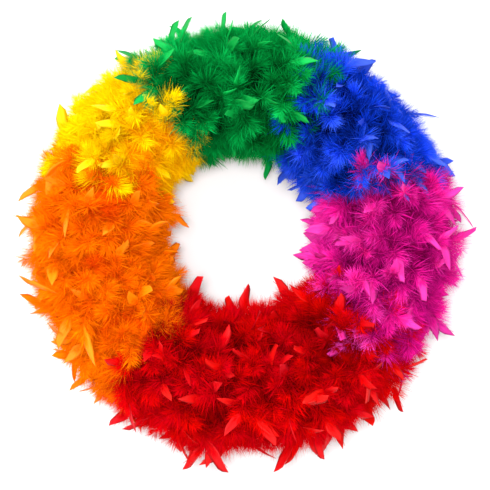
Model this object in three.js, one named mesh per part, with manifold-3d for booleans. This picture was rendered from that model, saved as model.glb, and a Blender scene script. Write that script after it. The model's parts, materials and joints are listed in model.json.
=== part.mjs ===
// A six-colour feather boa, laid out in a ring on a flat surface.
// Millimetres, +Z up, origin on the surface, in the middle of the ring's outline.
//
// One core cord runs from end to end. Thread binds the quills of each ruff of feathers to the cord, and the
// feathers fan out all round it. A knot keeps each end of the cord from pulling out. The boa bends everywhere, so
// it is a chain of short lengths, each with its piece of cord, its binding and its ruff. Two lengths of one colour
// bend sideways against each other, and two that meet at a change of colour bend upwards.

import * as THREE from "three";
import { mergeVertices } from "three/addons/utils/BufferGeometryUtils.js";
import Module from "manifold-3d";

const wasm = await Module();
wasm.setup();

// The dyed strands, anticlockwise from the boa's first end. A strand has its own length of cord, number of ruffs
// and plume radius, which is how far its feathers stand out from the cord.
const strands = [
  { dye: "magenta", color: 0xc4238f, length: 180, ruffs: 3, plume: 107 },
  { dye: "blue", color: 0x1f35c8, length: 145, ruffs: 2, plume: 100 },
  { dye: "green", color: 0x078a36, length: 187, ruffs: 3, plume: 100 },
  { dye: "yellow", color: 0xffc400, length: 115, ruffs: 2, plume: 101 },
  { dye: "orange", color: 0xff7400, length: 243, ruffs: 4, plume: 107 },
  { dye: "red", color: 0xd5000f, length: 330, ruffs: 5, plume: 111 },
];

const coreHeight = 80; // the cord above the surface, with the feathers under it pressed flat
const endGap = 10; // between the two free ends, where the ring closes
const firstEndAngle = THREE.MathUtils.degToRad(-33); // where the first end lies, seen from the ring's middle
const clearance = 0.3; // between touching pieces

const cordDiameter = 4;
const cordSides = 10;

const bindingDiameter = 10;
const bindingLength = 30;
const bindingSwell = 1; // the binding is thicker by this in the middle, over the quill ends
const bindingSides = 12;

const ruffHubThickness = 22; // along the cord, where the quills are bunched
const ruffHubRadius = 16;
const ruffRimThickness = 7; // along the cord, at the feather tips
const feathersAround = 12;
const featherNotch = 6; // how deep the ruff's outline dips between two feathers
const featherTipSteps = 3; // straight pieces along each side of a feather's round tip

const knotDiameter = 12;
const knotLength = 10;
const tailDiameter = 6; // the cord's frayed end past its knot
const tailLength = 4;

const sideBend = THREE.MathUtils.degToRad(26); // the most that one length straightens sideways from the ring
const endBend = THREE.MathUtils.degToRad(15); // the same for an end length, which meets the other end in the ring
const upBend = THREE.MathUtils.degToRad(18); // the most that one length bends upwards

const farAway = 1000; // the size of a cutting block, well over that of any piece
const closingSteps = 60; // halvings in the search for the ring's radius

// Solids and geometries.

function solidFrom(geometry) {
  const bare = geometry.clone();
  bare.deleteAttribute("normal");
  bare.deleteAttribute("uv");
  const merged = mergeVertices(bare, 1e-4);
  return new wasm.Manifold(
    new wasm.Mesh({
      numProp: 3,
      vertProperties: merged.attributes.position.array,
      triVerts: new Uint32Array(merged.index.array),
    }),
  );
}

function geometryFrom(solid) {
  const mesh = solid.getMesh();
  const geometry = new THREE.BufferGeometry();
  geometry.setAttribute("position", new THREE.BufferAttribute(mesh.vertProperties, 3));
  geometry.setIndex(new THREE.BufferAttribute(mesh.triVerts, 1));
  geometry.computeVertexNormals();
  return geometry;
}

// A solid of revolution about X. The profile is a list of [distance along X, radius], in the order of X outside.
function turned(profile, sides) {
  const points = profile.map(([along, radius]) => new THREE.Vector2(radius, along));
  return new THREE.LatheGeometry(points, sides).rotateZ(-Math.PI / 2);
}

// The ring.

// The angle that a chord takes up in a ring of that radius.
const turnOver = (chord, radius) => 2 * Math.asin(chord / (2 * radius));

// The radius at which chords laid end to end make one full turn.
function closingRadius(chords) {
  let low = Math.max(...chords);
  let high = chords.reduce((sum, chord) => sum + chord, 0);
  for (let step = 0; step < closingSteps; step += 1) {
    const middle = (low + high) / 2;
    const turn = chords.reduce((sum, chord) => sum + turnOver(chord, middle), 0);
    if (turn > 2 * Math.PI) low = middle;
    else high = middle;
  }
  return (low + high) / 2;
}

// The boa's lengths in order, each with the angle where it starts and the turn that it makes.
function layOut() {
  const chords = strands.flatMap(({ length, ruffs }) => Array(ruffs).fill(length / ruffs));
  const radius = closingRadius([...chords, endGap]);
  let start = firstEndAngle + turnOver(endGap, radius) / 2;
  const lengths = [];
  for (const { dye, color, length, ruffs, plume } of strands) {
    for (let place = 1; place <= ruffs; place += 1) {
      const chord = length / ruffs;
      const turn = turnOver(chord, radius);
      lengths.push({ name: `${dye}_${place}`, dye, color, plume, chord, start, turn });
      start += turn;
    }
  }
  return { radius, lengths };
}

// The pieces of one length, each about the length's middle: X along the cord, Y to the ring's middle, Z up.

// The ruff's outline round the cord: one round feather tip beside the next.
function featherOutline(plume) {
  const shape = new THREE.Shape();
  const steps = feathersAround * featherTipSteps * 2;
  for (let step = 0; step <= steps; step += 1) {
    const angle = (step / steps) * 2 * Math.PI;
    const acrossFeather = Math.abs(Math.sin((angle * feathersAround) / 2));
    const radius = plume - featherNotch * acrossFeather ** 3;
    const point = [radius * Math.cos(angle), radius * Math.sin(angle)];
    if (step === 0) shape.moveTo(...point);
    else shape.lineTo(...point);
  }
  return shape;
}

// A ruff of feathers: thick at the quills, thin at the tips, and flat where it is pressed on the surface.
function featherRuff({ plume }) {
  const hub = ruffHubThickness / 2;
  const rim = ruffRimThickness / 2;
  const fan = turned(
    [
      [-hub, 0],
      [-hub, ruffHubRadius],
      [-rim, plume],
      [rim, plume],
      [hub, ruffHubRadius],
      [hub, 0],
    ],
    feathersAround * 2,
  );
  const extrusion = { depth: ruffHubThickness, bevelEnabled: false, steps: 1 };
  const tips = new THREE.ExtrudeGeometry(featherOutline(plume), extrusion).translate(0, 0, -hub);
  const surface = new THREE.BoxGeometry(farAway, farAway, farAway);
  const boreRadius = bindingDiameter / 2 + bindingSwell + clearance;
  const bore = new THREE.CylinderGeometry(boreRadius, boreRadius, ruffHubThickness * 2, bindingSides);
  return geometryFrom(
    solidFrom(fan)
      .intersect(solidFrom(tips.rotateY(Math.PI / 2)))
      .subtract(solidFrom(surface.translate(0, 0, -coreHeight - farAway / 2)))
      .subtract(solidFrom(bore.rotateZ(Math.PI / 2))),
  );
}

// Where a length's cord begins and ends. Two cords clear each other when they bend at their joint, and the boa's
// two free ends leave room for their knots.
function cordSpan({ chord, turn }, isFirst, isLast) {
  const bendRoom = (cordDiameter / 2) * Math.tan((turn + upBend) / 2) + clearance;
  const knotRoom = knotLength + tailLength + clearance;
  return {
    from: -chord / 2 + (isFirst ? knotRoom : bendRoom),
    to: chord / 2 - (isLast ? knotRoom : bendRoom),
  };
}

function coreCord({ from, to }) {
  const radius = cordDiameter / 2;
  const cord = new THREE.CylinderGeometry(radius, radius, to - from, cordSides);
  return cord.rotateZ(Math.PI / 2).translate((from + to) / 2, 0, 0);
}

// The thread over the quills. It is shorter where a knot leaves it less room to each side.
function quillBinding(room) {
  const inside = cordDiameter / 2 + clearance;
  const outside = bindingDiameter / 2;
  const half = Math.min(bindingLength / 2, room);
  const profile = [
    [-half, inside],
    [-half, outside],
    [0, outside + bindingSwell],
    [half, outside],
    [half, inside],
    [-half, inside],
  ];
  return turned(profile, bindingSides);
}

// A knot with its frayed tail, from the end of the cord outwards along X.
function endKnot() {
  const profile = [
    [0, 0],
    [0, cordDiameter / 2],
    [knotLength * 0.3, knotDiameter / 2],
    [knotLength * 0.7, knotDiameter / 2],
    [knotLength, cordDiameter / 2],
    [knotLength + tailLength, tailDiameter / 2],
    [knotLength + tailLength, 0],
  ];
  return turned(profile, cordSides);
}

// The model.

const cotton = new THREE.MeshStandardMaterial({ color: 0xe9e1d2, roughness: 0.9, metalness: 0 });

function addPiece(group, name, geometry, material) {
  const mesh = new THREE.Mesh(geometry, material);
  mesh.name = name;
  group.add(mesh);
  return mesh;
}

const { radius: ringRadius, lengths } = layOut();
const pointAt = (angle) =>
  new THREE.Vector3(ringRadius * Math.cos(angle), ringRadius * Math.sin(angle), coreHeight);

function makeLength(length, isFirst, isLast) {
  const { name, dye, color, start, turn } = length;
  const group = new THREE.Group();
  group.position.lerpVectors(pointAt(start), pointAt(start + turn), 0.5);
  group.rotation.z = start + turn / 2 + Math.PI / 2;

  const feathers = new THREE.MeshStandardMaterial({ color, roughness: 0.8, metalness: 0 });
  const thread = new THREE.MeshStandardMaterial({ color, roughness: 0.6, metalness: 0 });
  const span = cordSpan(length, isFirst, isLast);
  addPiece(group, `feather_ruff_${name}`, featherRuff(length), feathers);
  addPiece(group, `quill_binding_${name}`, quillBinding(Math.min(-span.from, span.to)), thread);
  addPiece(group, `core_cord_${name}`, coreCord(span), cotton);
  if (isFirst) {
    const knot = addPiece(group, `end_knot_${dye}`, endKnot(), cotton);
    knot.position.x = span.from - clearance;
    knot.rotation.z = Math.PI;
  }
  if (isLast) {
    const knot = addPiece(group, `end_knot_${dye}`, endKnot(), cotton);
    knot.position.x = span.to + clearance;
  }
  return group;
}

const ring = new THREE.Group();
lengths.forEach((length, index) => {
  ring.add(makeLength(length, index === 0, index === lengths.length - 1));
});

// The middle of the ring's outline comes to the origin.
const outlineMiddle = new THREE.Box3().setFromObject(ring).getCenter(new THREE.Vector3());
ring.position.set(-outlineMiddle.x, -outlineMiddle.y, 0);

const boa = new THREE.Group();
boa.name = "feather_boa";
boa.add(ring);

// The bends between neighbours, out to both ends from the length in the middle of the boa. A positive bend opens
// the ring sideways, or lifts the boa's end from the surface.
const rootIndex = Math.floor(lengths.length / 2);
const bends = lengths.slice(1).map((after, index) => {
  const before = lengths[index];
  const towardsLast = index >= rootIndex;
  const direction = towardsLast ? 1 : -1;
  const isUp = before.dye !== after.dye;
  const isAtEnd = index === 0 || index === lengths.length - 2;
  const outward = new THREE.Vector3(Math.cos(after.start), Math.sin(after.start), 0);
  const down = new THREE.Vector3(0, 0, -1);
  return {
    parent: towardsLast ? before.name : after.name,
    child: towardsLast ? after.name : before.name,
    kind: isUp ? "lift" : "bend",
    axis: (isUp ? outward : down).multiplyScalar(direction),
    most: isUp ? upBend : isAtEnd ? endBend : sideBend,
    point: pointAt(after.start).add(ring.position),
  };
});
boa.userData = { root: lengths[rootIndex].name, bends };

export default boa;
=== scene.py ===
"""A full feather boa in six dyed colours, laid in a ring on a pale floor.

The boa is a chain of ruffs. Each ruff is a bunch of turkey feathers whose quills are wound onto a cotton
core cord with thread. A feather is a bare quill at its root, soft down along most of its length, and on some
feathers a flat vane that was left whole at the tip. A knot closes each end of the cord.

All sizes are in metres.
"""

from __future__ import annotations

import json
import logging
import math
from collections.abc import Sequence
from dataclasses import dataclass
from enum import Enum

import bpy
import numpy as np
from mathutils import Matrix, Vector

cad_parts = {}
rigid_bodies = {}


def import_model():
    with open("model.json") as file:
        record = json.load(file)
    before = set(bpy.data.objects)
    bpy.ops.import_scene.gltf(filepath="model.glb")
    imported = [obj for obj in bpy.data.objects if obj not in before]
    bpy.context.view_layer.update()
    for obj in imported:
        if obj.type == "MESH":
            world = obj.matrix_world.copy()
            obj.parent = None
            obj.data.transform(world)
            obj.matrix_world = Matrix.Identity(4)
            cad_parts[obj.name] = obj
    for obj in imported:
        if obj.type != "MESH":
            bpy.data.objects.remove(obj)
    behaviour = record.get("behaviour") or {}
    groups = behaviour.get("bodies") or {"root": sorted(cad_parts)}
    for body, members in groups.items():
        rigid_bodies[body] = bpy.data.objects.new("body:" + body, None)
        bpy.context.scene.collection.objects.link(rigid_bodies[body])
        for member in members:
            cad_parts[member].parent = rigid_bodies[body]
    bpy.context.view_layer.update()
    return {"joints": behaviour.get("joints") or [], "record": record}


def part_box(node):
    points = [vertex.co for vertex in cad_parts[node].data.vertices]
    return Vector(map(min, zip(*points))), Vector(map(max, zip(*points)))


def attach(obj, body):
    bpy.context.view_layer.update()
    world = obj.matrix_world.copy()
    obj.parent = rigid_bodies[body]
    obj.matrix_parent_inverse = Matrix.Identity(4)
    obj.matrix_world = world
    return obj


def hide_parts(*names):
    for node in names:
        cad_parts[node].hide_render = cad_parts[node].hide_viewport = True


log = logging.getLogger("boa")

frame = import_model()

UP = np.array([0.0, 0.0, 1.0])
GOLDEN_ANGLE = math.pi * (3.0 - math.sqrt(5.0))
BAKE_MAP = "OFBake"  # the UV map that every feather material reads

Colour = tuple[float, float, float]


# Colours and finishes.


@dataclass(frozen=True)
class DyeBath:
    """How one dye bath colours a strand of feathers, along with the painted shade low in the plume and the
    partly painted highlight at the tips.

    Attributes:
        label: The colour's name in the names of the pieces.
        painted_shade: Painted shade down among the quills, near the cord, as a hex string.
        down: The colour of the down.
        tips: The colour of the ends of the down, paler than the down: partly the ends' own colour, partly
            painted highlight on the outside of the plume.
        vane: The colour of the flat tips.
        lean: How far the strand's first edge leans along the boa at the outside of the ring.
        inward: How far the feathers reach towards the ring's middle, as a share of the plume.
        outward: The same on the outside of the ring.
        mottle: How much brighter the best dyed feathers are than the worst, as a share.
    """

    label: str
    painted_shade: str
    down: str
    tips: str
    vane: str
    lean: float
    inward: float
    outward: float
    mottle: float


class Dye(Enum):
    """The six dye baths, in their order along the boa."""

    # Each bath: label, painted shade, down, tips (partly painted highlight), vane, lean, inward, outward,
    # mottle.
    MAGENTA = DyeBath("magenta", "84004c", "ea169c", "fc48c4", "e4309c", -0.020, 0.95, 0.91, 0.55)
    BLUE = DyeBath("blue", "000430", "0e42dc", "4470ff", "3454d4", -0.012, 0.87, 0.89, 0.75)
    GREEN = DyeBath("green", "001408", "00903a", "10c45c", "04a444", 0.012, 0.82, 0.96, 0.60)
    YELLOW = DyeBath("yellow", "ffa800", "ffdc00", "ffe008", "ffd40a", 0.012, 0.70, 1.00, 0.12)
    ORANGE = DyeBath("orange", "ec5400", "ff8200", "ff8e04", "ff8400", 0.008, 0.83, 0.98, 0.20)
    RED = DyeBath("red", "900004", "dc000a", "e80412", "dc0610", 0.012, 0.88, 0.94, 0.22)


LAST_LEAN = -0.020  # the lean at the boa's last end


def linear(code: str) -> Colour:
    """Turns a hex colour into linear light, by the sRGB curve.

    Args:
        code: Six hex digits.

    Returns:
        Red, green and blue from 0 to 1.
    """
    parts = [int(code[i : i + 2], 16) / 255 for i in (0, 2, 4)]
    red, green, blue = (c / 12.92 if c <= 0.04045 else ((c + 0.055) / 1.055) ** 2.4 for c in parts)
    return red, green, blue


# Arrays of points.


def unit(vectors: np.ndarray) -> np.ndarray:
    """Scales each vector to a length of one."""
    return vectors / np.maximum(np.linalg.norm(vectors, axis=-1, keepdims=True), 1e-9)


def bezier(controls: np.ndarray, t: np.ndarray) -> np.ndarray:
    """Points on cubic Bezier curves: the control points weighted by the Bernstein polynomials of t.

    Args:
        controls: Four control points for each curve, shaped (curves, 4, 3).
        t: Places along each curve from 0 to 1, shaped (curves, places).

    Returns:
        The points, shaped (curves, places, 3).
    """
    t = t[..., None]
    s = 1 - t
    c = controls[:, None]
    return s**3 * c[:, :, 0] + 3 * s**2 * t * c[:, :, 1] + 3 * s * t**2 * c[:, :, 2] + t**3 * c[:, :, 3]


def rest_on_floor(points: np.ndarray, soft: float = 0.010) -> np.ndarray:
    """Presses points flat against the floor.

    Below the height soft, a height z becomes soft * exp(z / soft - 1).

    Args:
        points: The points, which are changed.
        soft: The height at which feathers start to feel the floor.

    Returns:
        The same points, none below the floor.
    """
    z = points[..., 2]
    points[..., 2] = np.where(z < soft, soft * np.exp(np.minimum(z, soft) / soft - 1), z)
    return points


@dataclass
class Surface:
    """A mesh as arrays: points, triangles or quads, and a place on the material's map for each point.

    Attributes:
        points: Shaped (points, 3).
        faces: Lists of corners, each shaped (faces, corners).
        places: Map coordinates, shaped (points, 2), or (corners, 2) in the order of the faces.
    """

    points: np.ndarray
    faces: list[np.ndarray]
    places: np.ndarray

    @classmethod
    def joined(cls, surfaces: Sequence[Surface]) -> Surface:
        """Puts several surfaces, whose places are given by point, in one.

        Args:
            surfaces: The surfaces.

        Returns:
            The one surface.
        """
        starts = np.cumsum([0, *(len(s.points) for s in surfaces)])
        faces = [group + start for s, start in zip(surfaces, starts) for group in s.faces]
        points = np.concatenate([s.points for s in surfaces])
        return cls(points, faces, np.concatenate([s.places for s in surfaces]))

    def build(self, name: str, material: bpy.types.Material) -> bpy.types.Object:
        """Makes the mesh object, smooth shaded, at the origin.

        Args:
            name: The piece's name.
            material: Its material.

        Returns:
            The new object.
        """
        corners = np.concatenate([f.ravel() for f in self.faces]).astype(np.int32)
        sizes = np.concatenate([np.full(len(f), f.shape[1]) for f in self.faces])
        starts = np.concatenate([[0], np.cumsum(sizes)[:-1]]).astype(np.int32)
        mesh = bpy.data.meshes.new(name)
        mesh.vertices.add(len(self.points))
        mesh.vertices.foreach_set("co", self.points.astype(np.float32).ravel())
        mesh.loops.add(len(corners))
        mesh.loops.foreach_set("vertex_index", corners)
        mesh.polygons.add(len(starts))
        mesh.polygons.foreach_set("loop_start", starts)
        mesh.update(calc_edges=True)
        mesh.polygons.foreach_set("use_smooth", np.ones(len(starts), bool))
        layer = mesh.uv_layers.new(name=BAKE_MAP)
        places = self.places if len(self.places) == len(corners) else self.places[corners]
        layer.uv.foreach_set("vector", places.astype(np.float32).ravel())
        mesh.materials.append(material)
        piece = bpy.data.objects.new(name, mesh)
        bpy.context.scene.collection.objects.link(piece)
        return piece


def grid_faces(count: int, rows: int, columns: int, closed: bool = False) -> np.ndarray:
    """The quads of several equal grids of points, stored one after another row by row.

    Args:
        count: How many grids.
        rows: Rows of points in each.
        columns: Points in each row.
        closed: Whether the last column joins the first.

    Returns:
        Corners shaped (quads, 4).
    """
    across = columns if closed else columns - 1
    row, column = np.meshgrid(np.arange(rows - 1), np.arange(across), indexing="ij")
    following = (column + 1) % columns
    quad = np.stack(
        [
            row * columns + column,
            row * columns + following,
            (row + 1) * columns + following,
            (row + 1) * columns + column,
        ],
        -1,
    ).reshape(-1, 4)
    return (quad[None] + (np.arange(count) * rows * columns)[:, None, None]).reshape(-1, 4)


def cap_faces(count: int, rows: int, columns: int) -> np.ndarray:
    """The flat faces that close both ends of several equal tubes, whose sides are closed grids.

    Args:
        count: How many tubes.
        rows: Rings of points in each.
        columns: Points in each ring.

    Returns:
        Corners shaped (faces, columns), the starts and ends of the tubes in turn.
    """
    ends = np.stack([np.arange(columns)[::-1], (rows - 1) * columns + np.arange(columns)])
    return (ends[None] + (np.arange(count) * rows * columns)[:, None, None]).reshape(-1, columns)


def tube(points: np.ndarray, endless: bool = False) -> Surface:
    """A tube through rings of points, with its ends closed by flat faces.

    The map runs along the tube in one direction and round it in the other.

    Args:
        points: Shaped (rings, points round, 3).
        endless: Whether the last ring meets the first instead.

    Returns:
        The tube.
    """
    rows, columns = points.shape[:2]
    if endless:
        points = np.concatenate([points, points[:1]])
        rows += 1
    faces = grid_faces(1, rows, columns, closed=True)
    row, column = np.divmod(np.arange(len(faces)), columns)
    corners_along = np.stack([row, row, row + 1, row + 1], -1) / (rows - 1)
    corners_round = np.stack([column, column + 1, column + 1, column], -1) / columns
    places = np.stack([corners_along, corners_round], -1).reshape(-1, 2) * 0.98 + 0.01
    groups = [faces]
    if endless:
        faces[faces >= (rows - 1) * columns] -= (rows - 1) * columns
        points = points[:-1]
    else:
        turn = np.arange(columns) / columns * 2 * math.pi
        disc = 0.5 + 0.48 * np.stack([np.cos(turn), np.sin(turn)], -1)
        groups.append(cap_faces(1, rows, columns))
        places = np.concatenate([places, disc[::-1], disc])
    return Surface(points.reshape(-1, 3), groups, places)


# The ring.


@dataclass(frozen=True)
class Ring:
    """The circle that the core cord lies on.

    Attributes:
        x: The middle.
        y: The middle.
        height: The cord's height over the floor.
        radius: The circle's radius.
    """

    x: float
    y: float
    height: float
    radius: float

    def place(self, points: np.ndarray) -> np.ndarray:
        """Bends points of a straight boa round the ring. The length along the boa becomes an angle.

        Args:
            points: (along, outward, up) from the cord, shaped (..., 3). Along starts at +X and runs
                anticlockwise.

        Returns:
            The points in the ring.
        """
        angle = points[..., 0] / self.radius
        reach = self.radius + points[..., 1]
        return np.stack(
            [self.x + reach * np.cos(angle), self.y + reach * np.sin(angle), self.height + points[..., 2]],
            -1,
        )

    def angle_of(self, point: Sequence[float]) -> float:
        """The angle of a point round the ring, anticlockwise from +X."""
        return math.atan2(point[1] - self.y, point[0] - self.x)

    def nearest(self, points: np.ndarray) -> np.ndarray:
        """The nearest place on the cord's circle to each point.

        Args:
            points: Shaped (..., 3).

        Returns:
            The places, shaped (..., 3).
        """
        out = points[..., :2] - [self.x, self.y]
        flat = [self.x, self.y] + self.radius * unit(out)
        return np.concatenate([flat, np.full_like(points[..., 2:], self.height)], -1)

    def from_cord(self, points: np.ndarray) -> np.ndarray:
        """How far each point lies from the cord's circle."""
        return np.linalg.norm(points - self.nearest(points), axis=-1)


def circle_through(points: np.ndarray) -> tuple[float, float, float]:
    """The circle that fits points best: the least squares answer to x*x + y*y = 2*a*x + 2*b*y + c.

    Args:
        points: Shaped (points, 2).

    Returns:
        The middle's x and y, and the radius.
    """
    terms = np.column_stack([2 * points, np.ones(len(points))])
    a, b, c = np.linalg.lstsq(terms, (points**2).sum(1), rcond=None)[0]
    return float(a), float(b), float(math.sqrt(c + a * a + b * b))


@dataclass(frozen=True)
class Stretch:
    """One length of the boa, from joint to joint.

    Attributes:
        name: Its colour and number.
        dye: Its dye bath.
        ring: The ring it lies on.
        start: Where it begins along the ring.
        end: Where it ends.
        plume: How far its feathers stand out from the cord.
        leans: How far its feathers lean along the boa at the outside of the ring, at its start and its end.
        free_end: 1 where the boa's last end is, -1 where its first end is, and 0 on the lengths between.
    """

    name: str
    dye: Dye
    ring: Ring
    start: float
    end: float
    plume: float
    leans: tuple[float, float]
    free_end: int

    @property
    def middle(self) -> float:
        """The middle along the ring."""
        return (self.start + self.end) / 2

    @property
    def length(self) -> float:
        """The length along the ring."""
        return self.end - self.start

    def place(self, points: np.ndarray) -> np.ndarray:
        """Puts points of this length, straight and measured from its own middle, in the ring.

        Feathers lean along the boa in proportion to how far out from the ring's middle they stand.

        Args:
            points: (along, outward, up), shaped (..., 3).

        Returns:
            The points in the ring.
        """
        share = np.clip(points[..., 0] / self.length + 0.5, 0, 1)
        lean = self.leans[0] + (self.leans[1] - self.leans[0]) * share
        moved = points.copy()
        moved[..., 0] += self.middle + lean * points[..., 1] / self.plume
        return self.ring.place(moved)

    def direction(self) -> np.ndarray:
        """The direction from its start to its end."""
        start, end = self.ring.place(np.array([[self.start, 0.0, 0.0], [self.end, 0.0, 0.0]]))
        return unit(end - start)

    def past_end(self, points: np.ndarray) -> np.ndarray:
        """How far points of this length reach along the boa past its free end, less the feathers' lean there.

        Args:
            points: Points in the ring, shaped (..., 3).

        Returns:
            The distances, all 0 on a length between two others.
        """
        edge, lean = (self.end, self.leans[1]) if self.free_end > 0 else (self.start, self.leans[0])
        out = points[..., :2] - [self.ring.x, self.ring.y]
        turn = np.arctan2(out[..., 1], out[..., 0]) - edge / self.ring.radius
        turn = (turn + math.pi) % (2 * math.pi) - math.pi
        outward = np.linalg.norm(out, axis=-1) - self.ring.radius
        return np.maximum(self.free_end * (turn * self.ring.radius - lean * outward / self.plume), 0)


def read_stretches() -> list[Stretch]:
    """Reads the boa's lengths from the frame: their order, joints, plumes and colours.

    Returns:
        The lengths in order along the boa.
    """
    joints = frame["joints"]
    spots = np.array([j["pos_m"] for j in joints])
    x, y, radius = circle_through(spots[:, :2])
    ring = Ring(x, y, float(spots[0, 2]), radius)
    bodies = list(frame["record"]["behaviour"]["bodies"])
    names = [b.removeprefix("length_") for b in bodies]
    first, last = (np.mean(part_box(f"end_knot_{n.split('_')[0]}"), axis=0) for n in (names[0], names[-1]))
    between = {frozenset((j["parent"], j["child"])): j["pos_m"] for j in joints}
    middle_points = [between[frozenset(pair)] for pair in zip(bodies, bodies[1:])]
    seam = (first + last) / 2
    ends = seam + 0.3 * (first - seam), seam + 0.3 * (last - seam)
    angles = np.unwrap([ring.angle_of(p) for p in (ends[0], *middle_points, ends[1])])
    edges = angles * ring.radius
    dyes = {d.value.label: d for d in Dye}
    labels = [n.split("_")[0] for n in names]
    turns = [0, *(i for i in range(1, len(names)) if labels[i] != labels[i - 1]), len(names)]
    leans = [*(dyes[labels[i]].value.lean for i in turns[:-1]), LAST_LEAN]
    lean_at = np.interp(edges, edges[turns], leans)
    stretches = []
    for i, name in enumerate(names):
        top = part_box(f"feather_ruff_{name}")[1][2]
        stretch = Stretch(
            name=name,
            dye=dyes[labels[i]],
            ring=ring,
            start=float(edges[i]),
            end=float(edges[i + 1]),
            plume=float(top - ring.height),
            leans=(float(lean_at[i]), float(lean_at[i + 1])),
            free_end=-1 if i == 0 else int(i == len(names) - 1),
        )
        stretches.append(stretch)
    return stretches


# Materials.


class Nodes:
    """Adds nodes to a node tree and links them."""

    def __init__(self, tree: bpy.types.NodeTree) -> None:
        """Keeps the tree.

        Args:
            tree: The tree to add to.
        """
        self.tree = tree

    def add(self, kind: str, **settings: object) -> bpy.types.Node:
        """Adds a node.

        Args:
            kind: The node's type.
            **settings: Its properties.

        Returns:
            The node.
        """
        node = self.tree.nodes.new(kind)
        for key, value in settings.items():
            setattr(node, key, value)
        return node

    def link(self, source: bpy.types.NodeSocket, target: bpy.types.NodeSocket) -> None:
        """Links an output to an input."""
        self.tree.links.new(source, target)

    def math(self, operation: str, *values: object) -> bpy.types.NodeSocket:
        """Adds a Math node.

        Args:
            operation: What it does.
            *values: Numbers, or outputs to link.

        Returns:
            Its output.
        """
        node = self.add("ShaderNodeMath", operation=operation)
        for socket, value in zip(node.inputs, values):
            if isinstance(value, bpy.types.NodeSocket):
                self.link(value, socket)
            else:
                socket.default_value = value
        return node.outputs[0]

    def ramp(
        self,
        factor: bpy.types.NodeSocket,
        stops: Sequence[tuple[float, Colour]],
    ) -> bpy.types.NodeSocket:
        """Adds a colour ramp.

        Args:
            factor: What it reads.
            stops: Places from 0 to 1, each with its colour.

        Returns:
            Its colour.
        """
        node = self.add("ShaderNodeValToRGB")
        elements = node.color_ramp.elements
        elements[0].position, elements[1].position = stops[0][0], stops[-1][0]
        elements[0].color, elements[1].color = (*stops[0][1], 1), (*stops[-1][1], 1)
        for place, colour in stops[1:-1]:
            elements.new(place).color = (*colour, 1)
        self.link(factor, node.inputs[0])
        return node.outputs[0]


def new_material(name: str) -> tuple[bpy.types.Material, Nodes, bpy.types.Node]:
    """Makes a material with one Principled shader.

    Args:
        name: The material's name.

    Returns:
        The material, its nodes and the shader.
    """
    material = bpy.data.materials.new(name)
    material.use_nodes = True
    shader = material.node_tree.nodes["Principled BSDF"]
    return material, Nodes(material.node_tree), shader


def shade_group() -> bpy.types.NodeTree:
    """The uneven take-up of dye, shared by all feathers: the colour's brightness and hue drift with the tint.

    Brightness is 1 + mottle * (tint - 0.5).

    Returns:
        A group with inputs Color, Tint and Mottle and an output Color.
    """
    group = bpy.data.node_groups.new("uneven_dye", "ShaderNodeTree")
    group.interface.new_socket("Color", in_out="INPUT", socket_type="NodeSocketColor")
    group.interface.new_socket("Tint", in_out="INPUT", socket_type="NodeSocketFloat")
    group.interface.new_socket("Mottle", in_out="INPUT", socket_type="NodeSocketFloat")
    group.interface.new_socket("Color", in_out="OUTPUT", socket_type="NodeSocketColor")
    nodes = Nodes(group)
    source = nodes.add("NodeGroupInput")
    result = nodes.add("NodeGroupOutput")
    shift = nodes.add("ShaderNodeHueSaturation")
    nodes.link(source.outputs["Color"], shift.inputs["Color"])
    nodes.link(nodes.math("MULTIPLY_ADD", source.outputs["Tint"], 0.003, 0.4985), shift.inputs["Hue"])
    centred = nodes.math("SUBTRACT", source.outputs["Tint"], 0.5)
    value = nodes.math("MULTIPLY_ADD", centred, source.outputs["Mottle"], 1.0)
    nodes.link(value, shift.inputs["Value"])
    nodes.link(shift.outputs["Color"], result.inputs["Color"])
    return group


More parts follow.
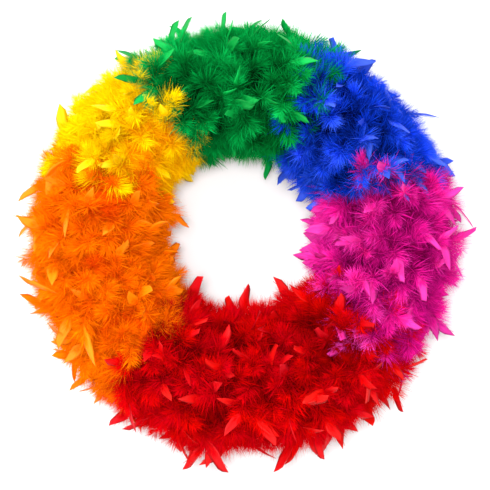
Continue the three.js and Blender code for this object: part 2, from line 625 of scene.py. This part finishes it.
class Finishes:
    """The materials of the boa, each made once."""

    DOWN_STOPS = (0.56, 0.77, 0.97)  # the heights in the plume of the painted shade, the down colour and the tip colour, which is partly painted highlight
    VANE_STOPS = (0.0, 0.25, 1.0)  # the same along a vane
    VANE_BARBS = 210.0  # how fast the barbs of a vane follow each other along it

    def __init__(self) -> None:
        """Makes the shared node group and an empty store."""
        self.uneven_dye = shade_group()
        self.made: dict[str, bpy.types.Material] = {}

    def down(self, dye: Dye) -> bpy.types.Material:
        """Soft down. The map holds the height in the plume along U and the feather's tint along V. The colour
        runs from painted shade near the cord, through the down colour, to the paler tips, which are partly
        painted highlight.

        Args:
            dye: The dye.

        Returns:
            The material.
        """
        name = f"{dye.value.label}_down"
        if name not in self.made:
            material, nodes, shader = new_material(name)
            place = nodes.add("ShaderNodeUVMap", uv_map=BAKE_MAP)
            split = nodes.add("ShaderNodeSeparateXYZ")
            nodes.link(place.outputs["UV"], split.inputs[0])
            colours = [linear(c) for c in (dye.value.painted_shade, dye.value.down, dye.value.tips)]
            # Painted shade low in the plume, the down colour higher, then the tips, partly painted highlight.
            ramp = nodes.ramp(split.outputs["X"], list(zip(self.DOWN_STOPS, colours)))
            self.dyed(nodes, ramp, split.outputs["Y"], dye, shader)
            shader.inputs["Roughness"].default_value = 0.9
            shader.inputs["Specular IOR Level"].default_value = 0.02
            self.made[name] = material
        return self.made[name]

    def vane(self, dye: Dye) -> bpy.types.Material:
        """A flat feather tip. The map holds one vane in each cell of a square grid.

        The barbs are stripes, the sine of the distance along less the distance from the middle.

        Args:
            dye: The dye.

        Returns:
            The material.
        """
        name = f"{dye.value.label}_vane"
        if name not in self.made:
            material, nodes, shader = new_material(name)
            place = nodes.add("ShaderNodeUVMap", uv_map=BAKE_MAP)
            split = nodes.add("ShaderNodeSeparateXYZ")
            nodes.link(place.outputs["UV"], split.inputs[0])
            cells = float(FeatherRuff.MAP_CELLS)
            along = nodes.math("FRACT", nodes.math("MULTIPLY", split.outputs["X"], cells))
            across = nodes.math("FRACT", nodes.math("MULTIPLY", split.outputs["Y"], cells))
            side = nodes.math("ABSOLUTE", nodes.math("SUBTRACT", across, 0.5))
            chevron = nodes.math("SUBTRACT", along, side)
            barb = nodes.math("SINE", nodes.math("MULTIPLY", chevron, self.VANE_BARBS))
            colours = [linear(c) for c in (dye.value.down, dye.value.vane, dye.value.vane)]
            ramp = nodes.ramp(along, list(zip(self.VANE_STOPS, colours)))
            cell = nodes.add("ShaderNodeTexWhiteNoise", noise_dimensions="2D")
            floor = nodes.add("ShaderNodeVectorMath", operation="FLOOR")
            scaled = nodes.add("ShaderNodeVectorMath", operation="SCALE")
            scaled.inputs["Scale"].default_value = cells
            nodes.link(place.outputs["UV"], scaled.inputs[0])
            nodes.link(scaled.outputs[0], floor.inputs[0])
            nodes.link(floor.outputs[0], cell.inputs["Vector"])
            streak = nodes.math("MULTIPLY_ADD", barb, 0.08, cell.outputs["Value"])
            self.dyed(nodes, ramp, streak, dye, shader)
            bump = nodes.add("ShaderNodeBump")
            bump.inputs["Strength"].default_value = 0.3
            bump.inputs["Distance"].default_value = 0.0002
            nodes.link(barb, bump.inputs["Height"])
            nodes.link(bump.outputs["Normal"], shader.inputs["Normal"])
            shader.inputs["Roughness"].default_value = 0.5
            shader.inputs["Specular IOR Level"].default_value = 0.18
            self.made[name] = material
        return self.made[name]

    def cotton(self) -> bpy.types.Material:
        """Undyed cotton cord, with pale and dark fibres from a fine noise in the object's own coordinates.

        Returns:
            The material.
        """
        if "cotton_cord" not in self.made:
            material, nodes, shader = new_material("cotton_cord")
            noise = nodes.add("ShaderNodeTexNoise")
            noise.inputs["Scale"].default_value = 900.0
            position = nodes.add("ShaderNodeTexCoord")
            nodes.link(position.outputs["Object"], noise.inputs["Vector"])
            stops = [(0.3, linear("b8a888")), (0.5, linear("e0d6c0")), (0.7, linear("f2ecdc"))]
            nodes.link(nodes.ramp(noise.outputs["Fac"], stops), shader.inputs["Base Color"])
            shader.inputs["Roughness"].default_value = 0.9
            shader.inputs["Specular IOR Level"].default_value = 0.1
            self.made["cotton_cord"] = material
        return self.made["cotton_cord"]

    def thread(self, dye: Dye) -> bpy.types.Material:
        """Dyed thread with painted shade where the windings meet. The map runs along the binding and round it.

        Args:
            dye: The dye.

        Returns:
            The material.
        """
        name = f"{dye.value.label}_thread_and_groove_shade"
        if name not in self.made:
            material, nodes, shader = new_material(name)
            place = nodes.add("ShaderNodeUVMap", uv_map=BAKE_MAP)
            split = nodes.add("ShaderNodeSeparateXYZ")
            nodes.link(place.outputs["UV"], split.inputs[0])
            twist = nodes.math("MULTIPLY_ADD", split.outputs["X"], 40.0, split.outputs["Y"])
            strand = nodes.math("SINE", nodes.math("MULTIPLY", twist, 4 * math.pi))
            share = nodes.math("MULTIPLY_ADD", strand, 0.5, 0.5)
            # Painted shade in the grooves between the windings, the down colour on the strands.
            stops = [(0.0, linear(dye.value.painted_shade)), (1.0, linear(dye.value.down))]
            self.dyed(nodes, nodes.ramp(share, stops), split.outputs["Y"], dye, shader)
            shader.inputs["Roughness"].default_value = 0.55
            shader.inputs["Specular IOR Level"].default_value = 0.3
            self.made[name] = material
        return self.made[name]

    def dyed(
        self,
        nodes: Nodes,
        colour: bpy.types.NodeSocket,
        tint: bpy.types.NodeSocket,
        dye: Dye,
        shader: bpy.types.Node,
    ) -> None:
        """Sends a colour through the uneven dye to the shader.

        Args:
            nodes: The material's nodes.
            colour: The even colour.
            tint: How strongly this feather took up the dye, from 0 to 1.
            dye: The dye.
            shader: The Principled shader.
        """
        group = nodes.add("ShaderNodeGroup", node_tree=self.uneven_dye)
        group.inputs["Mottle"].default_value = dye.value.mottle
        nodes.link(colour, group.inputs["Color"])
        nodes.link(tint, group.inputs["Tint"])
        nodes.link(group.outputs["Color"], shader.inputs["Base Color"])


# The cord, its bindings and its knots.


@dataclass(frozen=True)
class Rod:
    """The straight line that a piece of cord or binding is made round.

    Attributes:
        start: One end.
        end: The other.
    """

    start: np.ndarray
    end: np.ndarray

    @classmethod
    def of(cls, node: str, stretch: Stretch, thickness: float) -> Rod:
        """Measures a level rod of the frame by its box.

        The box's sides give the rod's length once its thickness is known.

        Args:
            node: The rod's node.
            stretch: The length that it belongs to, which gives its direction.
            thickness: Its diameter.

        Returns:
            The line from end to end.
        """
        low, high = (np.array(c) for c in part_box(node))
        along = stretch.direction()
        size = np.abs(along[:2])
        length = (high - low)[:2] @ size - 2 * thickness * size[0] * size[1]
        middle = (low + high) / 2
        return cls(middle - along * length / 2, middle + along * length / 2)

    def rings(self, rows: int, columns: int) -> tuple[np.ndarray, np.ndarray, np.ndarray, np.ndarray]:
        """Places along the rod and round it.

        Args:
            rows: How many places along.
            columns: How many round.

        Returns:
            The share along, shaped (rows, 1), the angle round, shaped (1, columns), the points on the rod and
            the directions out from it.
        """
        share = np.linspace(0, 1, rows)[:, None]
        turn = (np.arange(columns) / columns * 2 * math.pi)[None]
        along = unit(self.end - self.start)
        across = unit(np.cross(UP, along))
        centre = (self.start + (self.end - self.start) * share)[:, None]
        out = np.cos(turn)[..., None] * across + np.sin(turn)[..., None] * UP
        return share, turn, centre, out

    @property
    def length(self) -> float:
        """The rod's length."""
        return float(np.linalg.norm(self.end - self.start))


@dataclass
class CoreCord:
    """One length of the core cord: three plies twisted together.

    Attributes:
        stretch: The length of the boa.
        radius: The cord's radius.
        lay: The distance along the cord in which a ply makes one turn.
    """

    stretch: Stretch
    radius: float = 0.002
    lay: float = 0.012

    def build(self, finishes: Finishes) -> bpy.types.Object:
        """Builds the cord. Its radius is least in the three grooves, which follow abs(cos(1.5 * angle)).

        Args:
            finishes: The materials.

        Returns:
            The piece.
        """
        name = self.stretch.name
        rod = Rod.of(f"core_cord_{name}", self.stretch, 2 * self.radius)
        share, turn, centre, out = rod.rings(56, 18)
        groove = np.abs(np.cos(1.5 * (turn - 2 * math.pi * share * rod.length / self.lay)))
        surface = tube(centre + (self.radius * (0.80 + 0.20 * groove))[..., None] * out)
        piece = surface.build(f"twisted_cord_{name}", finishes.cotton())
        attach(piece, f"length_{name}")
        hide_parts(f"core_cord_{name}")
        return piece


@dataclass
class QuillBinding:
    """The thread that binds the quills of one ruff to the cord, wound in a close helix.

    Attributes:
        stretch: The length of the boa.
        radius: The radius at its ends.
        swell: How much thicker it is in the middle.
        thread: The thread's thickness.
    """

    stretch: Stretch
    radius: float = 0.005
    swell: float = 0.001
    thread: float = 0.0012

    def build(self, finishes: Finishes) -> bpy.types.Object:
        """Builds the binding.

        Its radius rises as half a sine wave to the middle, with a ripple for the windings.

        Args:
            finishes: The materials.

        Returns:
            The piece.
        """
        name, dye = self.stretch.name, self.stretch.dye
        rod = Rod.of(f"quill_binding_{name}", self.stretch, 2 * self.radius)
        share, turn, centre, out = rod.rings(100, 16)
        wound = np.cos(2 * math.pi * share * rod.length / self.thread - turn)
        radius = self.radius + self.swell * np.sin(math.pi * share) - self.thread * (0.25 - 0.25 * wound)
        radius = radius * np.clip(np.minimum(share, 1 - share) * 60, 0.45, 1)
        piece = tube(centre + radius[..., None] * out).build(f"thread_binding_{name}", finishes.thread(dye))
        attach(piece, f"length_{name}")
        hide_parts(f"quill_binding_{name}")
        return piece


@dataclass
class EndKnot:
    """The overhand knot at a free end of the cord, with a short tail.

    Attributes:
        stretch: The length of the boa at that end.
        outward: 1 at the end of the stretch, or -1 at its start.
    """

    stretch: Stretch
    outward: int

    def build(self, finishes: Finishes) -> list[bpy.types.Object]:
        """Builds the knot as a tube along a trefoil, sin t + 2 sin 2t by cos t - 2 cos 2t.

        The tail is a cone that frays outwards.

        Args:
            finishes: The materials.

        Returns:
            The pieces.
        """
        label = self.stretch.dye.value.label
        low, high = (np.array(c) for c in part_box(f"end_knot_{label}"))
        along = self.stretch.direction() * self.outward
        across = unit(np.cross(UP, along))
        middle = (low + high) / 2 - 0.002 * along
        t = np.arange(96) / 96 * 2 * math.pi
        curve = np.stack([np.sin(3 * t), np.sin(t) + 2 * np.sin(2 * t), np.cos(t) - 2 * np.cos(2 * t)], -1)
        curve = middle + (curve * [0.0030, 0.00135, 0.00135]) @ np.stack([along, across, UP])
        ahead = unit(np.roll(curve, -1, 0) - np.roll(curve, 1, 0))
        side = unit(np.cross(ahead, unit(curve - middle)))
        other = np.cross(ahead, side)
        turn = (np.arange(12) / 12 * 2 * math.pi)[:, None]
        rings = curve[:, None] + 0.0017 * (np.cos(turn) * side[:, None] + np.sin(turn) * other[:, None])
        knot = tube(rings, endless=True).build(f"overhand_knot_{label}", finishes.cotton())
        rod = Rod(middle + 0.003 * along, middle + 0.009 * along)
        share, turn, centre, out = rod.rings(8, 18)
        fray = 0.0016 + 0.0012 * share * (0.7 + 0.3 * np.cos(6 * turn))
        tail = tube(centre + fray[..., None] * out).build(f"cord_tail_{label}", finishes.cotton())
        for piece in (knot, tail):
            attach(piece, f"length_{self.stretch.name}")
            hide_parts(f"end_knot_{label}")
        return [knot, tail]


# Feathers.


@dataclass
class FeatherRuff:
    """The feathers of one length of the boa.

    Attributes:
        stretch: The length.
        seed: Starts the ruff's own random numbers.
        feathers_per_metre: How many feathers are bound to a metre of cord.
        end_feathers: How many more are bound at a free end, to fan out evenly over it.
        barbs: How many barbs of down on each.
        short_barbs: How many short barbs stand on the packed down.
        vane_share: The share of feathers that keep a flat vane at the tip.
    """

    MAP_CELLS = 7  # vanes along each side of the map
    DOME = 0.045  # how far the feathers at a free end reach along the boa past the cord
    VANE_HALF_THICKNESS = 0.00018
    STIFF_FROM = 0.66  # where a feather's flat vane starts, along its spine
    STIFFNESS = 0.65  # how far the spine under a vane is drawn to a straight line
    END_ZONE = 0.013  # how far from a free end the feathers start to tip over it
    END_TILT = 1.4  # how far they tip at the very end, in radians
    END_INSET = 0.003  # how far from the end the feathers that cover it are bound

    stretch: Stretch
    seed: int
    feathers_per_metre: float = 1550.0
    end_feathers: int = 40
    barbs: int = 345
    short_barbs: int = 4000
    vane_share: float = 0.29

    def __post_init__(self) -> None:
        """Draws the feathers' spines, as Bezier control points in the straight boa."""
        self.rng = np.random.default_rng(self.seed)
        free_end = self.stretch.free_end
        wound = round(self.feathers_per_metre * self.stretch.length)
        self.feathers = wound + self.end_feathers * abs(free_end)
        n, rng, plume = self.feathers, self.rng, self.stretch.plume
        order = np.arange(n)
        at_end = order >= wound
        along = ((order + rng.random(n)) / wound - 0.5) * self.stretch.length
        along = np.where(at_end, free_end * (self.stretch.length / 2 - self.END_INSET), along)
        turn = (order * GOLDEN_ANGLE + rng.normal(0, 0.15, n)) % (2 * math.pi)
        crowding = 0.85 * plume / self.stretch.ring.radius
        round_cord = turn - crowding * np.sin(turn)
        self.is_vane = rng.permutation(n) < round(self.vane_share * n)
        self.tint = rng.uniform(0.15, 0.85, n)

        sway = rng.normal(0, 0.22, n)
        lean = rng.normal(0, 0.016, n)
        to_free_end = (self.stretch.length / 2 - free_end * along) / self.END_ZONE
        tipped = self.END_TILT * abs(free_end) * np.exp(-(to_free_end**2))
        tilt = np.where(at_end, np.arccos(np.sqrt(rng.random(n))), tipped)
        heading = rng.uniform(0, 2 * math.pi, n)
        reach = plume * np.where(self.is_vane, rng.uniform(0.86, 1.02, n), rng.uniform(0.72, 0.87, n))
        inward, outward = (np.clip(side * np.cos(round_cord), 0, 1) ** 0.7 for side in (-1, 1))
        bath = self.stretch.dye.value
        reach *= 1 - (1 - bath.inward) * inward - (1 - bath.outward) * outward
        tip = np.where(self.is_vane, rng.uniform(0.036, 0.054, n), rng.uniform(0.018, 0.036, n))
        rise = np.where(self.is_vane, rng.uniform(-0.2, 1.15, n), rng.uniform(-0.1, 0.9, n))

        def spoke(angle: np.ndarray, share: np.ndarray, x: np.ndarray) -> np.ndarray:
            """A point on each feather, whose reach follows an ellipse from the plume's radius to the dome.

            Args:
                angle: The angle round the cord.
                share: How far along the feather's reach.
                x: The place along the boa, before the feather tips over the free end.

            Returns:
                The points in the straight boa, shaped (feathers, 3).
            """
            radius = share * reach * np.cos(tilt)
            dome = free_end * share * self.DOME * np.sin(tilt)
            return np.stack([x + dome, radius * np.cos(angle), radius * np.sin(angle)], -1)

        root = spoke(round_cord, 0.006 / reach, along)
        low = spoke(round_cord, 0.45, along + 0.1 * lean)
        high = spoke(round_cord + 0.6 * sway, 0.95, along + 0.7 * lean)
        radial = unit(high - np.stack([along + 0.7 * lean, 0 * along, 0 * along], -1))
        sideways = unit(np.cross([1.0, 0.02, 0.0], radial))
        flat = np.cos(heading)[:, None] * np.cross(radial, sideways) + np.sin(heading)[:, None] * sideways
        droop = 0.35 * np.abs(radial[:, 1:2]) * UP
        end = high + tip[:, None] * unit(flat + rise[:, None] * radial - droop)
        reached = np.hypot(end[:, 1], end[:, 2])
        most = plume * (1.10 + 0.06 * np.abs(end[:, 1]) / reached)
        end[:, 1:] *= np.minimum(1, most / reached)[:, None]
        self.controls = np.stack([root, low, high, end], 1)

    def bent(self, t: np.ndarray, chosen: np.ndarray) -> np.ndarray:
        """Points along the spines in the straight boa. The part of a spine with a flat vane is stiffer.

        There the curve is mixed with the straight line from where the vane starts to the tip.

        Args:
            t: Places from 0 to 1, shaped (feathers, places).
            chosen: Which feathers.

        Returns:
            The points, shaped (feathers, places, 3).
        """
        controls = self.controls[chosen]
        curve = bezier(controls, t)
        ends = bezier(controls, np.tile([self.STIFF_FROM, 1.0], (len(chosen), 1)))
        share = ((t - self.STIFF_FROM) / (1 - self.STIFF_FROM))[..., None]
        line = ends[:, :1] + (ends[:, 1:] - ends[:, :1]) * share
        stiff = self.STIFFNESS * (self.is_vane[chosen][:, None, None] & (share > 0))
        return curve + (line - curve) * stiff

    def spine(self, t: np.ndarray, chosen: np.ndarray | None = None) -> tuple[np.ndarray, ...]:
        """Points and directions along the spines, in the ring.

        Args:
            t: Places from 0 to 1, shaped (feathers, places).
            chosen: Which feathers, or all of them.

        Returns:
            The points, the direction along the spine, and two directions across it, each shaped
            (feathers, places, 3).
        """
        chosen = np.arange(self.feathers) if chosen is None else chosen
        here = self.stretch.place(self.bent(t, chosen))
        ahead = self.stretch.place(self.bent(t + 0.01, chosen))
        along = unit(ahead - here)
        across = unit(np.cross(along, UP + 0.01))
        return here, along, across, np.cross(along, across)

    def heights(self, points: np.ndarray) -> np.ndarray:
        """How high in the plume each point is: 0 at the cord, 0.87 at the plume's nominal radius.

        Past a free end, the distance along the boa counts too, as a share of the dome's height.

        Args:
            points: Points in the ring, shaped (..., 3).

        Returns:
            The heights, from 0 to 1.
        """
        out = self.stretch.ring.from_cord(points) / self.stretch.plume
        past = self.stretch.past_end(points) / self.DOME
        return np.clip(np.hypot(out, past) / 1.15, 0, 1)

    def down(self) -> Surface:
        """The down: each barb is a narrow kite, bent at its middle and pointed at both ends.

        A barb leaves the quill at 50 to 76 degrees, which closes by 30 degrees towards the feather's tip. Its
        length follows half a sine wave along the feather.

        Returns:
            The barbs of all feathers, two triangles each.
        """
        n, b, rng = self.feathers, self.barbs, self.rng
        first = np.where(self.is_vane, 0.40, 0.45)[:, None]
        last = np.where(self.is_vane, 0.80, 0.985)[:, None]
        share = (np.arange(b) + rng.random((n, b))) / b
        t = first + (last - first) * share
        root, along, across, other = self.spine(t)
        turn = rng.integers(0, 2, (n, b)) * math.pi + rng.normal(0, 0.85, (n, b))
        open_angle = np.radians(rng.uniform(50, 76, (n, 1)) - 30 * share + rng.normal(0, 11, (n, b)))
        outward = np.cos(turn)[..., None] * across + np.sin(turn)[..., None] * other
        direction = np.cos(open_angle)[..., None] * along + np.sin(open_angle)[..., None] * outward
        length = 0.030 * (0.42 + 0.58 * np.sin(math.pi * np.clip(share * 0.9 + 0.15, 0, 1)))
        length = (length * rng.uniform(0.6, 1.15, (n, b)))[..., None]
        curl = 0.30 * along + rng.normal(0, 0.24, (n, b, 3)) - 0.10 * UP
        middle = root + length * (0.45 * direction + 0.10 * curl)
        tip = root + length * (0.95 * direction + 0.5 * curl)
        flat = unit(np.cross(direction, rng.normal(0, 1, (n, b, 3))))
        width = 0.00024 + 0.00040 * rng.random((n, b, 1)) ** 3
        points = np.stack([root, middle + flat * width, middle - flat * width, tip], 2)
        # A barb's tip sits higher on the colour ramp than its root, so it has less painted shade and more of
        # the partly painted highlight.
        height = self.heights(points) + np.array([0.0, 0.02, 0.02, 0.05])
        tint = self.tint[:, None] + rng.normal(0, 0.25, (n, b))
        spread = np.array([0.0, 0.006, -0.006, 0.0])
        places = np.stack([height, tint[..., None] + spread], -1)
        kite = np.array([[0, 1, 2], [1, 3, 2]])
        faces = (kite[None] + (np.arange(n * b) * 4)[:, None, None]).reshape(-1, 3)
        points = rest_on_floor(points.reshape(-1, 3))
        return Surface(points, [faces], np.clip(places.reshape(-1, 2), 0.001, 0.999))

    def vanes(self) -> Surface:
        """The flat tips: thin closed shells along the ends of the spines.

        Each edge leaves the quill, runs beside it, and from its own corner runs in to the point. The point
        lies to one side, and its sideways offset grows as the square of the distance. The vane is cupped along
        its length, and its section is a flat ellipse.

        Returns:
            The vanes.
        """
        chosen = np.flatnonzero(self.is_vane)
        n, rows, columns = len(chosen), 10, 6
        rng = self.rng
        s = np.linspace(0, 1, rows)[None, :, None]
        turn = (np.arange(columns) / columns * 2 * math.pi)[None, None, :]
        side, face = -np.cos(turn), np.sin(turn)
        start = rng.uniform(self.STIFF_FROM, self.STIFF_FROM + 0.06, (n, 1, 1))
        early, late = rng.uniform(0.30, 0.55, (n, 1, 1)), rng.uniform(0.60, 0.90, (n, 1, 1))
        hand = rng.choice([-1, 1], (n, 1, 1))
        corner = np.where(side * hand > 0, late, early)
        t = np.broadcast_to(start + (1 - start) * s, (n, rows, columns))
        centre, along, across, other = self.spine(t.reshape(n, -1), chosen)
        radial = unit(centre - self.stretch.ring.nearest(centre))
        wide = unit(np.cross(along, radial) + 1e-4 * across)
        thick = np.cross(wide, along)
        twist = rng.normal(0, 0.55, (n, 1, 1)) + rng.normal(0, 0.5, (n, 1, 1)) * s + 0 * side
        twist = twist.reshape(n, -1, 1)
        turned_wide = np.cos(twist) * wide + np.sin(twist) * thick
        thick = np.cos(twist) * thick - np.sin(twist) * wide
        half = rng.uniform(0.0054, 0.0086, (n, 1, 1))
        profile = np.clip(np.minimum(0.15 + s / 0.35, (1 - s) / (1 - corner) + 0.03), 0, 1)
        offset = hand * rng.uniform(0.1, 0.9, (n, 1, 1)) * s**2
        lateral = (half * (profile * side + offset)).reshape(n, -1, 1)
        cup = 0.3 * half * profile * side**2 * rng.choice([-1, 1], (n, 1, 1))
        cup = cup + self.VANE_HALF_THICKNESS * face
        points = centre + turned_wide * lateral + thick * cup.reshape(n, -1, 1)
        cell = np.arange(n)
        u = (cell % self.MAP_CELLS)[:, None, None] + 0.04 + 0.92 * s + 0 * side
        v = (cell // self.MAP_CELLS)[:, None, None] + 0.5 + 0.46 * side + 0 * s
        places = np.stack([u, v], -1).reshape(-1, 2) / self.MAP_CELLS
        points = rest_on_floor(points.reshape(-1, 3))
        faces = [grid_faces(n, rows, columns, closed=True), cap_faces(n, rows, columns)]
        return Surface(points, faces, places)

    def quills(self) -> Surface:
        """The quills: four-sided tubes along the spines, tapering from 0.8 mm to 0.25 mm in radius.

        Returns:
            The tubes.
        """
        n, rows, sides = self.feathers, 6, 4
        t = np.tile(np.linspace(0.02, 0.97, rows), (n, 1))
        centre, _, across, other = self.spine(t)
        turn = np.arange(sides) / sides * 2 * math.pi
        radius = (0.0008 - 0.00055 * t)[..., None, None]
        circle = np.cos(turn)[:, None] * across[:, :, None] + np.sin(turn)[:, None] * other[:, :, None]
        points = centre[:, :, None] + radius * circle
        # The quills take their colour from the same ramp, a little higher than where they are, so they have
        # painted shade near the cord.
        height = self.heights(points) + 0.1
        tint = self.tint[:, None, None] + 0.01 * np.cos(turn)
        places = np.stack([height, np.broadcast_to(tint, height.shape)], -1)
        points = rest_on_floor(points.reshape(-1, 3))
        places = np.clip(places.reshape(-1, 2), 0.001, 0.999)
        return Surface(points, [grid_faces(n, rows, sides, closed=True), cap_faces(n, rows, sides)], places)

    def heart(self) -> Surface:
        """The packed down round the cord: a barrel with rounded ends and lumps from a sum of sine waves,
        coloured almost all in the painted shade.

        Returns:
            The closed barrel.
        """
        rows, columns = 25, 48
        rng = self.rng
        place = np.sin(np.radians(np.linspace(-87, 87, rows)))[:, None]
        turn = (np.arange(columns) / columns * 2 * math.pi)[None]
        waves = sum(
            rng.uniform(0.3, 1) * np.sin(a * place * 3 + k * turn + rng.uniform(0, 2 * math.pi))
            for a, k in ((1, 3), (2, 5), (3, 4), (4, 7), (2, 9), (5, 6), (6, 11))
        )
        radius = 0.60 * self.stretch.plume * (1 - np.abs(place) ** 8) ** 0.25 * (1 + 0.045 * waves)
        radius = np.broadcast_to(radius, (rows, columns))
        along = np.broadcast_to(place * (self.stretch.length / 2 + 0.002), (rows, columns))
        straight = np.stack([along, radius * np.cos(turn), radius * np.sin(turn)], -1)
        points = self.stretch.place(straight)
        tint = 0.5 + 0.4 * np.sin(waves)
        # A little lower on the colour ramp than where it is, so deeper in the painted shade.
        height = self.heights(points) * 0.95
        places = np.clip(np.stack([height, tint], -1).reshape(-1, 2), 0.001, 0.999)
        points = rest_on_floor(points.reshape(-1, 3))
        faces = [grid_faces(1, rows, columns, closed=True)[:, ::-1], cap_faces(1, rows, columns)[:, ::-1]]
        return Surface(points, faces, places)

    def under_down(self) -> Surface:
        """Short down that stands on the packed down all round, leaning in random directions.

        A barb's direction is the way out from the cord plus a normal deviate of 0.55 in each coordinate.

        Returns:
            The barbs, two triangles each.
        """
        n, rng = self.short_barbs, self.rng
        turn = rng.uniform(0, 2 * math.pi, n)
        along = rng.uniform(-0.5, 0.5, n) * self.stretch.length
        height = rng.uniform(0.50, 0.62, n) * self.stretch.plume
        straight = np.stack([along, height * np.cos(turn), height * np.sin(turn)], -1)
        root = self.stretch.place(straight)
        radial = unit(root - self.stretch.ring.nearest(root))
        direction = unit(radial + rng.normal(0, 0.55, (n, 3)))
        length = rng.uniform(0.014, 0.026, (n, 1))
        curl = rng.normal(0, 0.25, (n, 3))
        flat = unit(np.cross(direction, rng.normal(0, 1, (n, 3))))
        width = 0.0006 * rng.uniform(0.7, 1.3, (n, 1))
        middle = root + 0.45 * length * (direction + 0.2 * curl)
        tip = root + length * (direction + 0.6 * curl)
        points = np.stack([root, middle + flat * width, middle - flat * width, tip], 1)
        tint = rng.uniform(0.2, 0.8, n)[:, None] + np.array([0.0, 0.006, -0.006, 0.0])
        # Rooted low in the plume, so the colour of these barbs is mostly the painted shade.
        places = np.stack([self.heights(points), tint], -1)
        kite = np.array([[0, 1, 2], [1, 3, 2]])
        faces = (kite[None] + (np.arange(n) * 4)[:, None, None]).reshape(-1, 3)
        points = rest_on_floor(points.reshape(-1, 3))
        return Surface(points, [faces], np.clip(places.reshape(-1, 2), 0.001, 0.999))

    def build(self, finishes: Finishes) -> list[bpy.types.Object]:
        """Builds the ruff's pieces, which ride on the length's body and stand for its solid fan.

        Args:
            finishes: The materials.

        Returns:
            The pieces.
        """
        name, dye = self.stretch.name, self.stretch.dye
        body, fan, slot = f"length_{name}", f"feather_ruff_{name}", f"{dye.value.label}_feathers"
        plume = Surface.joined([self.down(), self.quills(), self.heart(), self.under_down()])
        pieces = [
            plume.build(f"down_{name}", finishes.down(dye)),
            self.vanes().build(f"vane_tips_{name}", finishes.vane(dye)),
        ]
        for piece in pieces:
            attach(piece, body)
            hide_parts(fan)
        return pieces


# The studio.


@dataclass(frozen=True)
class Studio:
    """A pale floor, soft light and a camera straight above.

    Attributes:
        width: How much of the boa's level the view takes in from side to side.
        aim_x: Where the camera looks.
        aim_y: Where the camera looks.
        level: The height of the boa's widest outline.
        distance: The camera's height over that level.
    """

    width: float = 0.668
    aim_x: float = 0.001
    aim_y: float = -0.006
    level: float = 0.080
    distance: float = 2.6

    def floor(self) -> None:
        """A wide pale floor."""
        half = 6.0
        mesh = bpy.data.meshes.new("floor")
        corners = [(-half, -half, 0), (half, -half, 0), (half, half, 0), (-half, half, 0)]
        mesh.from_pydata(corners, [], [(0, 1, 2, 3)])
        material, nodes, shader = new_material("floor_paper")
        grain = nodes.add("ShaderNodeTexNoise")
        grain.inputs["Scale"].default_value = 300.0
        tone = nodes.ramp(grain.outputs["Fac"], [(0.0, (0.93, 0.93, 0.93)), (1.0, (0.97, 0.97, 0.97))])
        nodes.link(tone, shader.inputs["Base Color"])
        shader.inputs["Roughness"].default_value = 0.9
        shader.inputs["Specular IOR Level"].default_value = 0.1
        mesh.materials.append(material)
        floor = bpy.data.objects.new("floor", mesh)
        bpy.context.scene.collection.objects.link(floor)

    def light(self, name: str, place: Sequence[float], size: float, power: float) -> None:
        """A square soft light that faces the ring's middle.

        Args:
            name: Its name.
            place: Where it hangs.
            size: The length of its side.
            power: Its power in watts.
        """
        lamp = bpy.data.lights.new(name, "AREA")
        lamp.shape = "SQUARE"
        lamp.size = size
        lamp.energy = power
        lit = bpy.data.objects.new(name, lamp)
        lit.location = place
        away = np.array(place) - [0, 0, self.level]
        lit.rotation_euler = (
            math.acos(away[2] / np.linalg.norm(away)),
            0.0,
            math.atan2(away[1], away[0]) + math.pi / 2,
        )
        bpy.context.scene.collection.objects.link(lit)

    def build(self) -> None:
        """Makes the floor, the lights, the sky and the camera."""
        self.floor()
        self.light("key", (-1.5, 1.6, 1.9), 1.4, 48.0)
        self.light("top", (-0.1, 0.1, 2.9), 0.8, 66.0)
        world = bpy.data.worlds.new("studio")
        world.use_nodes = True
        sky = world.node_tree.nodes["Background"]
        sky.inputs["Color"].default_value = (1, 1, 1, 1)
        sky.inputs["Strength"].default_value = 0.8
        scene = bpy.context.scene
        scene.world = world
        scene.view_settings.view_transform = "Standard"
        lens = bpy.data.cameras.new("camera")
        lens.sensor_width = 36.0
        lens.lens = lens.sensor_width * self.distance / self.width
        lens.clip_end = 50.0
        camera = bpy.data.objects.new("camera", lens)
        camera.location = (self.aim_x, self.aim_y, self.level + self.distance)
        scene.collection.objects.link(camera)
        scene.camera = camera


def main() -> None:
    """Builds the boa length by length, then its knots, and logs each piece."""
    logging.basicConfig(level=logging.INFO, format="%(message)s")
    Studio().build()
    finishes = Finishes()
    stretches = read_stretches()
    pieces = []
    for seed, stretch in enumerate(stretches):
        pieces += FeatherRuff(stretch, seed).build(finishes)
        pieces.append(CoreCord(stretch).build(finishes))
        pieces.append(QuillBinding(stretch).build(finishes))
    pieces += EndKnot(stretches[0], -1).build(finishes)
    pieces += EndKnot(stretches[-1], 1).build(finishes)
    total = 0
    for piece in pieces:
        triangles = len(piece.data.loops) - 2 * len(piece.data.polygons)
        total += triangles
        log.info("%s: %d triangles", piece.name, triangles)
    log.info("triangles in all: %d", total)


if __name__ == "__main__":
    main()
